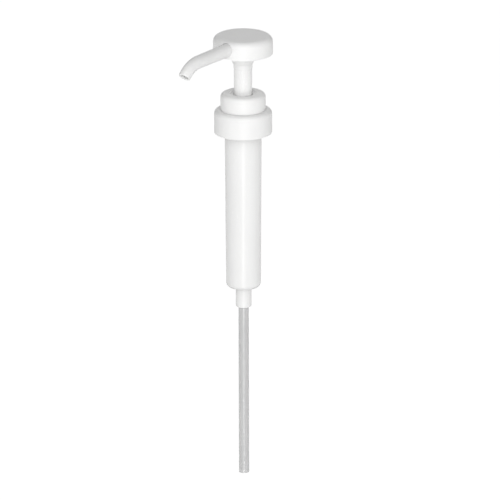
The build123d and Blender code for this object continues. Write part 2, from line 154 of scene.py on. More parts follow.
WASHER_INNER_R = 5.0
WASHER_THICKNESS = 1.5
WASHER_HUB_GAP = 0.3
WASHER_HUB_TAPER = 0.2

# --- Collar, guide, wiper and closure
COLLAR_ROUND = 3.0
COLLAR_HOLE_GAP = 0.35
COLLAR_FIT = 0.05
RECESS_R = 9.6
RECESS_SLOPE = 0.4
RECESS_DEPTH = 1.0
WIPER_GAP = 0.03
WIPER_UNDERCUT = 1.0
WIPER_LIP = 0.5
GUIDE_DISC = 1.4
GUIDE_SLEEVE_R = 8.6
GUIDE_SKIRT_WALL = 1.8
GUIDE_SKIRT_BOTTOM = 3.0
GUIDE_GAP = 0.08
GUIDE_FIT = 0.05
GUIDE_LEAD_IN = 0.4
GUIDE_RING_HALF = 0.54
RING_GROOVE_HALF = 0.55
RING_GROOVE = 1.1
RING_Z = 6.0
RING_SIDES = 32
GASKET_GAP = 0.18
CLOSURE_ROUND = 3.2
CLOSURE_LIP = 1.7
CLOSURE_HOLE_GAP = 0.3
THREAD_MAJOR_R = 19.05
THREAD_MINOR_R = 18.15
THREAD_PITCH = 25.4 / 6
THREAD_TURNS = 1.6
THREAD_LIFT = 2.2
THREAD_FADE_TURNS = 1 / 9
THREAD_ROOT_HALF = 1.1
THREAD_CREST_HALF = 0.42
THREAD_ROOT_SINK = 0.3
THREAD_END_SINK = 0.02

# --- Housing and dip tube
TURRET_R = 13.0
TURRET_BEAD = 0.22
BEAD_DROP = 2.0
BEAD_HALF = 0.8
BEAD_GROOVE_HALF = 0.9
BORE_R = 11.4
FLANGE_TOP = 2.8
BODY_TOP_R = 13.72
BODY_BOTTOM_R = 13.05
BODY_BOTTOM = -133.6
BODY_ROUND = 4.4
BORE_FLOOR = -131.8
BORE_FLOOR_ROUND = 3.4
FOOT_R = 5.92
FOOT_ROUND = 1.85
INLET_R = 2.3
INLET_CONE_R = 4.6
SOCKET_TOP = -138.0
SOCKET_GAP = 0.02
VENT_R = 0.75
VENT_Z = -6.0
VENT_REACH = 1.2
VENT_SIDES = 32
TUBE_BORE_R = 2.75

# --- Return spring
WIRE_R = 0.7
CLOSED_PITCH = 1.42
CLOSED_TURNS = 1.0
ACTIVE_TURNS = 11.0
EASE_TURNS = 0.3
GROUND_TIP = 0.1
SPRING_STEPS = 48
WIRE_SIDES = 20
WIRE_UV_LENGTH = 10.0

SLOTS = {
    "head_cap": "head_plastic",
    "spout_body": "head_plastic",
    "pump_stem": "stem_plastic",
    "collar": "collar_plastic",
    "closure_cap": "closure_plastic",
    "pump_cylinder": "housing_plastic",
    "dip_tube": "tube_plastic",
    "piston_seal": "piston_plastic",
    "stem_guide": "valve_plastic",
    "outlet_valve_seat": "valve_plastic",
    "outlet_ball_stop": "valve_plastic",
    "thrust_washer": "valve_plastic",
    "inlet_ball_cage": "valve_plastic",
    "stem_wiper": "seal_rubber",
    "guide_o_ring": "seal_rubber",
    "stem_o_ring": "seal_rubber",
    "bottle_gasket": "gasket_foam",
    "return_spring": "spring_steel",
    "outlet_ball": "ball_steel",
    "inlet_ball": "ball_steel",
}


def extent(node):
    """A CAD node's outer radius, lowest height and highest height."""
    low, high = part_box(node)
    return high.x / MM, low.z / MM, high.z / MM


# ---------------------------------------------------------------- mesh helpers
def round_corner(before, corner, after, radius):
    """Points of an arc that rounds an outline's corner and leaves room for its neighbours' arcs."""
    corner = Vector(corner)
    a = Vector(before) - corner
    b = Vector(after) - corner
    room = min(a.length, b.length) * CORNER_ROOM
    a.normalize()
    b.normalize()
    half = a.angle(b) / 2
    radius = min(radius, room * math.tan(half))
    start = corner + a * radius / math.tan(half)
    centre = corner + (a + b).normalized() * radius / math.sin(half)
    spoke = start - centre
    sweep = math.pi - 2 * half
    if a.x * b.y - a.y * b.x > 0:
        sweep = -sweep
    steps_per_radian = LARGE_ARC_STEPS if radius > 1 else SMALL_ARC_STEPS
    steps = max(3, math.ceil(abs(sweep) * steps_per_radian))
    points = []
    for i in range(steps + 1):
        c = math.cos(sweep * i / steps)
        s = math.sin(sweep * i / steps)
        points.append((centre.x + c * spoke.x - s * spoke.y, centre.y + s * spoke.x + c * spoke.y))
    return points


def ease(share):
    """Smooth step from 0 to 1, level at both ends."""
    share = min(1.0, max(0.0, share))
    return share * share * (3 - 2 * share)


def outline(*corners):
    """A closed outline from (x, y, rounding) corners, with a true arc at each rounded corner."""
    points = []
    for i, (x, y, radius) in enumerate(corners):
        if radius > 0:
            after = corners[(i + 1) % len(corners)]
            points.extend(round_corner(corners[i - 1][:2], (x, y), after[:2], radius))
        else:
            points.append((x, y))
    return points


def write_mesh(name, bm):
    """Ends a bmesh made in millimetres as an object in metres."""
    bmesh.ops.remove_doubles(bm, verts=bm.verts, dist=WELD)
    bmesh.ops.dissolve_degenerate(bm, dist=TINY_EDGE, edges=bm.edges)
    bmesh.ops.recalc_face_normals(bm, faces=bm.faces)
    bmesh.ops.scale(bm, vec=(MM, MM, MM), verts=bm.verts)
    mesh = bpy.data.meshes.new(name)
    bm.to_mesh(mesh)
    bm.free()
    thing = bpy.data.objects.new(name, mesh)
    bpy.context.scene.collection.objects.link(thing)
    return thing


def skin(name, rings, closed=False):
    """A surface over rings of points, with a flat face at each end unless it closes on itself."""
    bm = bmesh.new()
    loops = [[bm.verts.new(point) for point in ring] for ring in rings]
    size = len(loops[0])
    ends = loops[1:] + loops[:1] if closed else loops[1:]
    for here, there in zip(loops, ends):
        for k in range(size):
            n = (k + 1) % size
            moved = (here[k].co - there[k].co).length + (here[n].co - there[n].co).length
            if moved > SAME_PLACE:
                bm.faces.new((here[k], here[n], there[n], there[k]))
    if not closed:
        bm.faces.new(loops[0])
        bm.faces.new(loops[-1])
    return write_mesh(name, bm)


def lathe(name, points, segments=FINE):
    """Revolves a closed outline of (radius, height) points about Z."""
    rings = []
    for i in range(segments):
        c = math.cos(2 * math.pi * i / segments)
        s = math.sin(2 * math.pi * i / segments)
        rings.append([(r * c, r * s, z) for r, z in points])
    return skin(name, rings, closed=True)


def circle(radius, count=64):
    """Points of a circle about the origin."""
    return [
        (radius * math.cos(2 * math.pi * i / count), radius * math.sin(2 * math.pi * i / count))
        for i in range(count)
    ]


def drum(name, radius, bottom, top, centre=(0, 0)):
    """An upright cylinder, used as a cutting tool."""
    rings = []
    for z in (bottom, top):
        rings.append([(centre[0] + x, centre[1] + y, z) for x, y in circle(radius)])
    return skin(name, rings)


def combine(thing, other, operation):
    """Applies a boolean of another object, which it removes, and clears the slivers it leaves."""
    cut = thing.modifiers.new("cut", "BOOLEAN")
    cut.operation = operation
    cut.solver = "EXACT"
    cut.object = other
    graph = bpy.context.evaluated_depsgraph_get()
    mesh = bpy.data.meshes.new_from_object(thing.evaluated_get(graph))
    thing.modifiers.remove(cut)
    bpy.data.objects.remove(other)
    bm = bmesh.new()
    bm.from_mesh(mesh)
    bmesh.ops.remove_doubles(bm, verts=bm.verts, dist=SLIVER * MM)
    bmesh.ops.dissolve_degenerate(bm, dist=SLIVER * MM, edges=bm.edges)
    bm.to_mesh(mesh)
    bm.free()
    thing.data = mesh
    return thing


def smooth(thing):
    """Smooth shading that keeps the sharp edges, with normals weighted by area."""
    thing.data.shade_smooth()
    thing.data.set_sharp_from_angle(angle=SHARP_ANGLE)
    weighted = thing.modifiers.new("weighted", "WEIGHTED_NORMAL")
    weighted.keep_sharp = True


# ---------------------------------------------------------------- materials
class Finish:
    """A procedural material: nodes in object space that drive one Principled shader."""

    def __init__(self, name, **sockets):
        self.material = bpy.data.materials.new(name)
        self.material.use_nodes = True
        self.tree = self.material.node_tree
        self.shader = self.tree.nodes["Principled BSDF"]
        self.coords = self.tree.nodes.new("ShaderNodeTexCoord")
        self.normal = None
        for socket, value in sockets.items():
            self.shader.inputs[socket.replace("_", " ")].default_value = value

    def link(self, source, target):
        self.tree.links.new(source, target)

    def place(self, scale, space="Object"):
        """Texture coordinates with this many features per metre, or per UV unit, on each axis."""
        mapping = self.tree.nodes.new("ShaderNodeMapping")
        mapping.inputs["Scale"].default_value = scale
        self.link(self.coords.outputs[space], mapping.inputs["Vector"])
        return mapping.outputs["Vector"]

    def noise(self, scale, detail=3.0, space="Object"):
        """Soft cloudy pattern, 0 to 1."""
        node = self.tree.nodes.new("ShaderNodeTexNoise")
        node.inputs["Scale"].default_value = 1.0
        node.inputs["Detail"].default_value = detail
        self.link(self.place(scale, space), node.inputs["Vector"])
        return self.remap(node.outputs["Fac"], 0.3, 0.7, 0.0, 1.0)

    def cells(self, scale):
        """Rounded cells, 0 at a cell's centre."""
        node = self.tree.nodes.new("ShaderNodeTexVoronoi")
        node.feature = "SMOOTH_F1"
        node.inputs["Scale"].default_value = 1.0
        self.link(self.place(scale), node.inputs["Vector"])
        return node.outputs["Distance"]

    def remap(self, source, from_low, from_high, low, high):
        node = self.tree.nodes.new("ShaderNodeMapRange")
        node.inputs["From Min"].default_value = from_low
        node.inputs["From Max"].default_value = from_high
        node.inputs["To Min"].default_value = low
        node.inputs["To Max"].default_value = high
        self.link(source, node.inputs["Value"])
        return node.outputs["Result"]

    def colour(self, factor, first, second):
        """Base colour that runs from the first colour to the second."""
        node = self.tree.nodes.new("ShaderNodeMix")
        node.data_type = "RGBA"
        node.inputs["A"].default_value = (*first, 1)
        node.inputs["B"].default_value = (*second, 1)
        self.link(factor, node.inputs["Factor"])
        self.link(node.outputs["Result"], self.shader.inputs["Base Color"])

    def roughness(self, factor, low, high):
        self.link(self.remap(factor, 0, 1, low, high), self.shader.inputs["Roughness"])

    def bump(self, height, depth, strength=1.0):
        """Adds surface relief of this depth in millimetres."""
        node = self.tree.nodes.new("ShaderNodeBump")
        node.inputs["Strength"].default_value = strength
        node.inputs["Distance"].default_value = depth * MM
        self.link(height, node.inputs["Height"])
        if self.normal is not None:
            self.link(self.normal, node.inputs["Normal"])
        self.normal = node.outputs["Normal"]
        self.link(self.normal, self.shader.inputs["Normal"])


def even(scale):
    return (scale, scale, scale)


def moulded_plastic(name, light, dark, roughness):
    """Injection-moulded polypropylene: faint flow clouding, orange peel, fine handling scuffs."""
    finish = Finish(
        name,
        IOR=1.49,
        Subsurface_Weight=0.12,
        Subsurface_Scale=1.2 * MM,
        Subsurface_Radius=(1.0, 1.0, 0.95),
    )
    clouds = finish.noise((70, 70, 26), detail=4)
    peel = finish.noise(even(850), detail=2)
    scuffs = finish.noise((2300, 2300, 420), detail=3)
    finish.colour(clouds, light, dark)
    finish.roughness(scuffs, roughness - 0.03, roughness + 0.04)
    finish.bump(peel, 0.006)
    finish.bump(scuffs, 0.0007)
    return finish.material


def dip_tube_plastic():
    """Extruded natural polyethylene: milky, with die lines along its length."""
    finish = Finish(
        "extruded_polyethylene",
        IOR=1.51,
        Transmission_Weight=0.35,
        Coat_Weight=0.8,
        Coat_Roughness=0.08,
        Subsurface_Weight=0.15,
        Subsurface_Scale=1.0 * MM,
        Subsurface_Radius=(1.0, 1.0, 1.0),
    )
    die_lines = finish.noise((1500, 1500, 6), detail=2)
    haze = finish.noise((120, 120, 40), detail=3)
    finish.colour(haze, (0.72, 0.72, 0.72), (0.68, 0.68, 0.68))
    finish.roughness(die_lines, 0.12, 0.18)
    finish.bump(die_lines, 0.003)
    return finish.material


def soft_polyethylene():
    """Low-density polyethylene of the piston: waxy, milky, slightly wiped by the bore."""
    finish = Finish(
        "soft_polyethylene",
        IOR=1.51,
        Subsurface_Weight=0.35,
        Subsurface_Scale=2.0 * MM,
        Subsurface_Radius=(1.0, 1.0, 1.0),
    )
    wipe = finish.noise((300, 300, 3200), detail=3)
    haze = finish.noise(even(160), detail=4)
    finish.colour(haze, (0.78, 0.80, 0.80), (0.72, 0.74, 0.75))
    finish.roughness(wipe, 0.36, 0.52)
    finish.bump(wipe, 0.004)
    return finish.material


def acetal():
    """Natural acetal of the valve pieces: satin, faintly warm, with a fine spark-eroded texture."""
    finish = Finish(
        "natural_acetal",
        IOR=1.48,
        Subsurface_Weight=0.2,
        Subsurface_Scale=1.0 * MM,
        Subsurface_Radius=(1.0, 0.98, 0.9),
    )
    clouds = finish.noise(even(140), detail=4)
    grain = finish.noise(even(4200), detail=2)
    finish.colour(clouds, (0.82, 0.81, 0.77), (0.77, 0.76, 0.71))
    finish.roughness(grain, 0.38, 0.5)
    finish.bump(grain, 0.004)
    return finish.material


def silicone():
    """Food-grade silicone: translucent white, dull, with a little dust in its surface."""
    finish = Finish(
        "white_silicone",
        IOR=1.41,
        Subsurface_Weight=0.45,
        Subsurface_Scale=1.5 * MM,
        Subsurface_Radius=(1.0, 1.0, 1.0),
        Sheen_Weight=0.15,
        Sheen_Roughness=0.6,
    )
    haze = finish.noise(even(380), detail=4)
    grain = finish.noise(even(5200), detail=3)
    finish.colour(haze, (0.74, 0.74, 0.73), (0.66, 0.66, 0.65))
    finish.roughness(grain, 0.52, 0.68)
    finish.bump(grain, 0.006)
    return finish.material


def foam():
    """Closed-cell polyethylene foam: small round cells under a thin skin."""
    finish = Finish("closed_cell_foam", IOR=1.45, Sheen_Weight=0.2, Sheen_Roughness=0.7)
    cells = finish.cells(even(3600))
    walls = finish.remap(cells, 0.1, 0.7, 0, 1)
    finish.colour(walls, (0.84, 0.84, 0.81), (0.68, 0.68, 0.65))
    finish.roughness(walls, 0.7, 0.86)
    finish.bump(cells, 0.08, 0.6)
    return finish.material


def drawn_wire():
    """Drawn stainless spring wire: fine lines along the wire, slightly darker between them."""
    finish = Finish("drawn_stainless_wire", Metallic=1.0, Anisotropic=0.4)
    lines = finish.noise((0.6, 46, 1), detail=4, space="UV")
    stain = finish.noise(even(260), detail=4)
    finish.colour(stain, (0.64, 0.63, 0.62), (0.50, 0.49, 0.48))
    finish.roughness(lines, 0.22, 0.38)
    finish.bump(lines, 0.006)
    return finish.material


def polished_ball():
    """Ground and lapped stainless ball with a few hairlines."""
    finish = Finish("lapped_stainless_ball", Metallic=1.0)
    clouds = finish.noise(even(420), detail=3)
    hairlines = finish.noise((5200, 700, 1600), detail=2)
    finish.colour(clouds, (0.72, 0.72, 0.73), (0.66, 0.66, 0.67))
    finish.roughness(hairlines, 0.07, 0.16)
    finish.bump(hairlines, 0.0006)
    return finish.material


WHITE = (0.815, 0.815, 0.81)
WHITE_SHADE = (0.79, 0.79, 0.785)
HOUSING = (0.795, 0.795, 0.79)
HOUSING_SHADE = (0.77, 0.77, 0.765)
MATERIALS = {
    "head_plastic": moulded_plastic("white_head_plastic", WHITE, WHITE_SHADE, 0.36),
    "stem_plastic": moulded_plastic("white_stem_plastic", WHITE, WHITE_SHADE, 0.26),
    "collar_plastic": moulded_plastic("white_collar_plastic", WHITE, WHITE_SHADE, 0.38),
    "closure_plastic": moulded_plastic("white_closure_plastic", WHITE, WHITE_SHADE, 0.4),
    "housing_plastic": moulded_plastic("white_housing_plastic", HOUSING, HOUSING_SHADE, 0.24),
    "tube_plastic": dip_tube_plastic(),
    "piston_plastic": soft_polyethylene(),
    "valve_plastic": acetal(),
    "seal_rubber": silicone(),
    "gasket_foam": foam(),
    "spring_steel": drawn_wire(),
    "ball_steel": polished_ball(),
}
BODY_OF = {
    member: body
    for body, members in frame["record"]["behaviour"]["bodies"].items()
    for member in members
}


def stand_for(piece, node):
    """The finished piece takes a CAD node's place, on its body and in its material."""
    piece.data.materials.clear()
    piece.data.materials.append(MATERIALS[SLOTS[node]])
    smooth(piece)
    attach(piece, BODY_OF[node])
    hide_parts(node)


# ---------------------------------------------------------------- head and spout
def head_cap():
    """Cap of the press head: a shell with a large round shoulder, notched for the spout."""
    radius, bottom, top = extent("head_cap")
    inner = radius - HEAD_WALL
    ceiling = top - HEAD_WALL
    shell = lathe(
        "head_cap_shell",
        outline(
            (0, top, 0),
            (radius, top, HEAD_ROUND),
            (radius, bottom, 0.35),
            (inner, bottom, 0.25),
            (inner, ceiling, HEAD_INNER_ROUND),
            (0, ceiling, 0),
        ),
    )
    notch_r = SPOUT_ROOT_R + NOTCH_GAP
    arch = [(notch_r, bottom - OVERCUT)]
    for i in range(NOTCH_STEPS + 1):
        angle = math.pi * i / NOTCH_STEPS
        arch.append((notch_r * math.cos(angle), SPOUT_Z + notch_r * math.sin(angle)))
    arch.append((-notch_r, bottom - OVERCUT))
    rings = [[(x, -y, z) for x, z in arch] for y in (NOTCH_START, radius + OVERCUT)]
    return combine(shell, skin("notch", rings), "DIFFERENCE")


def spout_section(travel, radius, sides=SPOUT_SIDES):
    """A ring round the spout's centreline, this far along it from the stem's axis."""
    turned = max(0.0, travel - BEND_START) / BEND_RADIUS
    y = -min(travel, BEND_START) - BEND_RADIUS * math.sin(turned)
    z = SPOUT_Z - BEND_RADIUS * (1 - math.cos(turned))
    ring = []
    for across, up in circle(radius, sides):
        ring.append((across, y - up * math.sin(turned), z + up * math.cos(turned)))
    return ring


def spout_travels(first):
    """Stations along the spout: the straight run, then the bend."""
    straight = BEND_START - first
    travels = [first + straight * i / STRAIGHT_STEPS for i in range(STRAIGHT_STEPS)]
    bend = BEND_RADIUS * BEND_ANGLE - TIP_ROUND
    travels.extend(BEND_START + bend * i / BEND_STEPS for i in range(BEND_STEPS + 1))
    return travels


def spout_radius(travel):
    """Outer radius: one taper along the straight run, another round the bend."""
    if travel < BEND_START:
        return SPOUT_INNER_R + (BEND_START_R - SPOUT_INNER_R) * travel / BEND_START
    share = (travel - BEND_START) / (BEND_RADIUS * BEND_ANGLE)
    return BEND_START_R + (TIP_R - BEND_START_R) * share


def spout_solid():
    """The spout without its bore, with a rounded lip at its tip."""
    rings = [spout_section(travel, spout_radius(travel)) for travel in spout_travels(SPOUT_START)]
    tip = BEND_START + BEND_RADIUS * BEND_ANGLE
    for i in range(1, LIP_STEPS + 1):
        angle = math.pi / 2 * i / LIP_STEPS
        travel = tip - TIP_ROUND * (1 - math.sin(angle))
        rings.append(spout_section(travel, TIP_R - TIP_ROUND * (1 - math.cos(angle))))
    return skin("spout", rings)


def spout_bore():
    """The spout's bore from the chamber to the tip, flared where it meets the lip."""
    rings = [spout_section(travel, SPOUT_BORE_R, BORE_SIDES) for travel in spout_travels(0.0)]
    tip = BEND_START + BEND_RADIUS * BEND_ANGLE
    for i in range(1, BORE_LIP_STEPS + 1):
        angle = math.pi / 2 * i / BORE_LIP_STEPS
        travel = tip - TIP_ROUND * (1 - math.sin(angle))
        flare = TIP_ROUND * (1 - math.cos(angle))
        rings.append(spout_section(travel, SPOUT_BORE_R + flare, BORE_SIDES))
    rings.append(spout_section(tip + OVERCUT, SPOUT_BORE_R + TIP_ROUND, BORE_SIDES))
    return skin("bore", rings)


def saddle(radius, bottom):
    """The block under the spout's root that fills the cap's notch."""
    outer = radius - HEAD_FIT
    inner = radius - SADDLE_DEPTH
    outer_turn = math.asin(SPOUT_ROOT_R / outer)
    inner_turn = math.asin(SPOUT_ROOT_R / inner)
    flat = []
    for i in range(SADDLE_STEPS + 1):
        angle = outer_turn * (2 * i / SADDLE_STEPS - 1)
        flat.append((outer * math.sin(angle), -outer * math.cos(angle)))
    for i in range(SADDLE_STEPS + 1):
        angle = inner_turn * (1 - 2 * i / SADDLE_STEPS)
        flat.append((inner * math.sin(angle), -inner * math.cos(angle)))
    return skin("saddle", [[(x, y, z) for x, y in flat] for z in (bottom, SPOUT_Z)])


def spout_body():
    """Base disc of the head, boss for the stem, and the spout, in one moulding."""
    head_r, head_bottom, head_top = extent("head_cap")
    disc_r, shoulder, _ = extent("spout_body")
    spigot_top = extent("pump_stem")[2]
    base = head_bottom + BASE_RECESS
    body = lathe(
        "spout_moulding",
        outline(
            (0, CHAMBER_TOP + CHAMBER_ROOF, 0),
            (BOSS_R - 2 * HUB_SLOPE, CHAMBER_TOP + CHAMBER_ROOF, CHAMBER_ROUND),
            (BOSS_R - HUB_SLOPE, base + BASE_DISC, 0.5),
            (disc_r, base + BASE_DISC, 0.3),
            (disc_r, base, 0.3),
            (BOSS_R + BOSS_FOOT, base, 1.2),
            (BOSS_R, BOSS_STEP_HIGH, 0.35),
            (BOSS_RING_R, BOSS_STEP_LOW, 0.35),
            (BOSS_LOW_R, shoulder, 0.25),
            (0, shoulder, 0),
        ),
    )
    combine(body, spout_solid(), "UNION")
    combine(body, saddle(head_r, base), "UNION")
    under_ceiling = head_top - HEAD_WALL - HEAD_FIT
    ceiling_cut = drum("ceiling", NOTCH_START + CEILING_INSET, under_ceiling, head_top)
    combine(body, ceiling_cut, "DIFFERENCE")
    socket_top = spigot_top + SPIGOT_HEADROOM
    socket = drum("socket", SPIGOT_R + SPIGOT_GAP, shoulder - OVERCUT, socket_top)
    combine(body, socket, "DIFFERENCE")
    combine(body, drum("chamber", STEM_BORE_R, spigot_top, CHAMBER_TOP), "DIFFERENCE")
    combine(body, spout_bore(), "DIFFERENCE")
    for i in range(4):
        angle = math.radians(45 + 90 * i)
        centre = (EJECTOR_CIRCLE_R * math.cos(angle), EJECTOR_CIRCLE_R * math.sin(angle))
        mark = drum("ejector_mark", EJECTOR_R, base - OVERCUT, base + EJECTOR_DEPTH, centre)
        combine(body, mark, "DIFFERENCE")
    return body


# ---------------------------------------------------------------- stem, piston, outlet valve
def pump_stem():
    """Hollow piston rod with its spigot, stop ring and piston journal."""
    bottom, top = extent("pump_stem")[1:]
    groove_top = top - SPIGOT_GROOVE_DROP
    groove_bottom = groove_top - SPIGOT_GROOVE_HEIGHT
    ring_bottom = STOP_RING_TOP - STOP_RING_HEIGHT
    return lathe(
        "pump_stem_rod",
        outline(
            (STEM_BORE_R, top, 0.15),
            (SPIGOT_R, top, 0.4),
            (SPIGOT_R, groove_top, 0.1),
            (SPIGOT_R - SPIGOT_GROOVE, groove_top, 0.1),
            (SPIGOT_R - SPIGOT_GROOVE, groove_bottom, 0.1),
            (SPIGOT_R, groove_bottom, 0.1),
            (SPIGOT_R, STEM_SHOULDER, 0.1),
            (STEM_R, STEM_SHOULDER, 0.25),
            (STEM_R, STOP_RING_TOP, 0.2),
            (STOP_RING_R, STOP_RING_TOP, 0.2),
            (STOP_RING_R, ring_bottom + STOP_RING_CHAMFER, 0.2),
            (STOP_RING_R - STOP_RING_CHAMFER, ring_bottom, 0.2),
            (STEM_R, ring_bottom, 0.2),
            (STEM_R, PISTON_STEP, 0.2),
            (JOURNAL_R, PISTON_STEP, 0.1),
            (JOURNAL_R, bottom, 0.1),
            (STEM_BORE_R, bottom, 0.05),
        ),
    )


def outlet_valve_seat():
    """Plug in the stem's lower end: a conical seat on top, a flange that keeps the piston on."""
    bottom, top = extent("outlet_valve_seat")[1:]
    plug_r = STEM_BORE_R - SEAT_FIT
    cone_r = STEM_BORE_R - SEAT_LIP
    flange_top = bottom + SEAT_FLANGE
    return lathe(
        "outlet_valve_seat_plug",
        outline(
            (SEAT_PASSAGE_R, bottom + SEAT_CHAMFER, 0),
            (SEAT_PASSAGE_R + SEAT_CHAMFER, bottom, 0.1),
            (SEAT_FLANGE_R, bottom, 0.5),
            (SEAT_FLANGE_R, flange_top, 0.2),
            (plug_r, flange_top, 0.05),
            (plug_r, top, 0.2),
            (cone_r, top, 0.1),
            (SEAT_PASSAGE_R, top - (cone_r - SEAT_PASSAGE_R), 0.1),
        ),
        COARSE,
    )


def piston_seal():
    """Soft cup with a wiping lip at each end."""
    bottom, top = extent("piston_seal")[1:]
    bore_r = JOURNAL_R + RUNNING_GAP
    lip_r = BORE_R - RUNNING_GAP
    hub_r = SEAT_FLANGE_R + CUP_HUB
    root_r = SEAT_FLANGE_R + CUP_ROOT
    waist_r = lip_r - CUP_WAIST
    return lathe(
        "piston_cup",
        outline(
            (bore_r, top, 0.2),
            (hub_r, top, 0.4),
            (root_r, top - CUP_DEPTH, 0.3),
            (lip_r - PISTON_LIP, top, 0.15),
            (lip_r - LIP_TAPER, top, 0.12),
            (lip_r, top - LIP_HEIGHT, 0.5),
            (waist_r, top - CUP_WAIST_DROP, 0.6),
            (waist_r, bottom + CUP_WAIST_DROP, 0.6),
            (lip_r, bottom + LIP_HEIGHT, 0.5),
            (lip_r - LIP_TAPER, bottom, 0.12),
            (lip_r - PISTON_LIP, bottom, 0.15),
            (root_r, bottom + CUP_DEPTH, 0.3),
            (hub_r, bottom, 0.4),
            (bore_r, bottom, 0.2),
        ),
        COARSE,
    )


def thrust_washer():
    """Washer between the piston and the spring, with a hub that centres the top coil."""
    radius, bottom, top = extent("thrust_washer")
    seat = top - WASHER_THICKNESS
    hub_r = extent("return_spring")[0] - 2 * WIRE_R - WASHER_HUB_GAP
    return lathe(
        "thrust_washer_ring",
        outline(
            (WASHER_INNER_R, top, 0.2),
            (radius, top, 0.4),
            (radius, seat, 0.2),
            (hub_r, seat, 0.1),
            (hub_r - WASHER_HUB_TAPER, bottom, 0.3),
            (WASHER_INNER_R, bottom, 0.2),
        ),
        COARSE,
    )


# ---------------------------------------------------------------- collar, guide and seals
def snap_bulge(radius, height, depth, half_height):
    """Corners of a shallow bulge on an upright wall, from its top down."""
    return (
        (radius, height + half_height, 0.4),
        (radius + depth, height, 1.4),
        (radius, height - half_height, 0.4),
    )


def collar():
    """Collar over the turret, with a shallow dish round the stem."""
    radius, bottom, top = extent("collar")
    turret_top = extent("pump_cylinder")[2]
    ceiling = extent("stem_wiper")[2]
    hole_r = STEM_R + COLLAR_HOLE_GAP
    bore_r = TURRET_R + COLLAR_FIT
    groove = snap_bulge(bore_r, turret_top - BEAD_DROP, TURRET_BEAD + COLLAR_FIT, BEAD_GROOVE_HALF)
    return lathe(
        "collar_ring",
        outline(
            (hole_r, top - RECESS_DEPTH, 0.15),
            (RECESS_R, top - RECESS_DEPTH, 0.3),
            (RECESS_R + RECESS_SLOPE, top, 0.35),
            (radius, top, COLLAR_ROUND),
            (radius, bottom, 0.05),
            (bore_r, bottom, 0.2),
            *reversed(groove),
            (bore_r, ceiling, 0),
            (hole_r, ceiling, 0.1),
        ),
    )


def stem_guide():
    """Bush on the turret: disc, sleeve round the stem, and a grooved skirt in the bore."""
    disc_r, bottom, top = extent("stem_guide")
    turret_top = top - GUIDE_DISC
    bore_r = STEM_R + GUIDE_GAP
    skirt_r = BORE_R - GUIDE_FIT
    return lathe(
        "stem_guide_bush",
        outline(
            (bore_r + GUIDE_LEAD_IN, bottom, 0.1),
            (GUIDE_SLEEVE_R, bottom, 0.25),
            (GUIDE_SLEEVE_R, turret_top, 0.4),
            (skirt_r - GUIDE_SKIRT_WALL, turret_top, 0.4),
            (skirt_r - GUIDE_SKIRT_WALL, GUIDE_SKIRT_BOTTOM, 0.2),
            (skirt_r, GUIDE_SKIRT_BOTTOM, 0.3),
            (skirt_r, RING_Z - RING_GROOVE_HALF, 0.1),
            (skirt_r - RING_GROOVE, RING_Z - RING_GROOVE_HALF, 0.08),
            (skirt_r - RING_GROOVE, RING_Z + RING_GROOVE_HALF, 0.08),
            (skirt_r, RING_Z + RING_GROOVE_HALF, 0.1),
            (skirt_r, turret_top, 0.05),
            (disc_r, turret_top, 0.1),
            (disc_r, top, 0.2),
            (bore_r, top, 0.1),
            (bore_r, bottom + GUIDE_LEAD_IN, 0),
        ),
    )


def seal_ring(node, half_width):
    """An O-ring as high as the CAD ring, with an oval section of this half width."""
    radius, bottom, top = extent(node)
    height = (bottom + top) / 2
    half_height = (top - bottom) / 2
    centre_r = radius - half_width
    section = []
    for x, y in circle(1.0, RING_SIDES):
        section.append((centre_r + half_width * x, height + half_height * y))
    return lathe(f"{node}_seal", section)


def stem_wiper():
    """Soft ring with an angled lip that wipes the stem."""
    radius, bottom, top = extent("stem_wiper")
    lip_r = STEM_R + WIPER_GAP
    return lathe(
        "stem_wiper_lip",
        outline(
            (lip_r + WIPER_UNDERCUT, bottom, 0.15),
            (radius, bottom, 0.2),
            (radius, top, 0.2),
            (lip_r, top, 0.12),
            (lip_r, top - WIPER_LIP, 0.15),
            (lip_r + WIPER_UNDERCUT, bottom + WIPER_LIP, 0.2),
        ),
    )


def bottle_gasket():
    """Die-cut foam ring with softened edges."""
    radius, bottom, top = extent("bottle_gasket")
    inner = BODY_TOP_R + GASKET_GAP
    return lathe(
        "bottle_gasket_ring",
        outline(
            (inner, bottom, 0.2),
            (radius, bottom, 0.2),
            (radius, top, 0.2),
            (inner, top, 0.2),
        ),
    )


# ---------------------------------------------------------------- closure, housing and tube
def thread_rib(bottom):
    """The closure's internal thread, fading into the wall at both ends."""
    steps = round(FINE * THREAD_TURNS)
    fade = FINE * THREAD_FADE_TURNS
    tallest = THREAD_MAJOR_R + THREAD_END_SINK - THREAD_MINOR_R
    root = THREAD_MAJOR_R + THREAD_ROOT_SINK
    rings = []
    for i in range(steps + 1):
        angle = 2 * math.pi * i / FINE
        height = bottom + THREAD_LIFT + THREAD_PITCH * i / FINE
        grown = ease(min(i, steps - i) / fade)
        crest = THREAD_MAJOR_R + THREAD_END_SINK - tallest * grown
        section = outline(
            (root, -THREAD_ROOT_HALF, 0),
            (crest, -THREAD_CREST_HALF, 0.15),
            (crest, THREAD_CREST_HALF, 0.15),
            (root, THREAD_ROOT_HALF, 0),
        )
        rings.append([(r * math.cos(angle), r * math.sin(angle), height + z) for r, z in section])
    return skin("thread", rings)


def closure_cap():
    """Plain screw closure with its internal thread and a hole for the turret."""
    radius, bottom, top = extent("closure_cap")
    hole_r = TURRET_R + CLOSURE_HOLE_GAP
    ceiling = top - CLOSURE_LIP
    cap = lathe(
        "closure_cap_shell",
        outline(
            (hole_r, top, 0.3),
            (radius, top, CLOSURE_ROUND),
            (radius, bottom, 0.35),
            (THREAD_MAJOR_R, bottom, 0.5),
            (THREAD_MAJOR_R, ceiling, 0.4),
            (hole_r, ceiling, 0.1),
        ),
    )
    return combine(cap, thread_rib(bottom), "UNION")


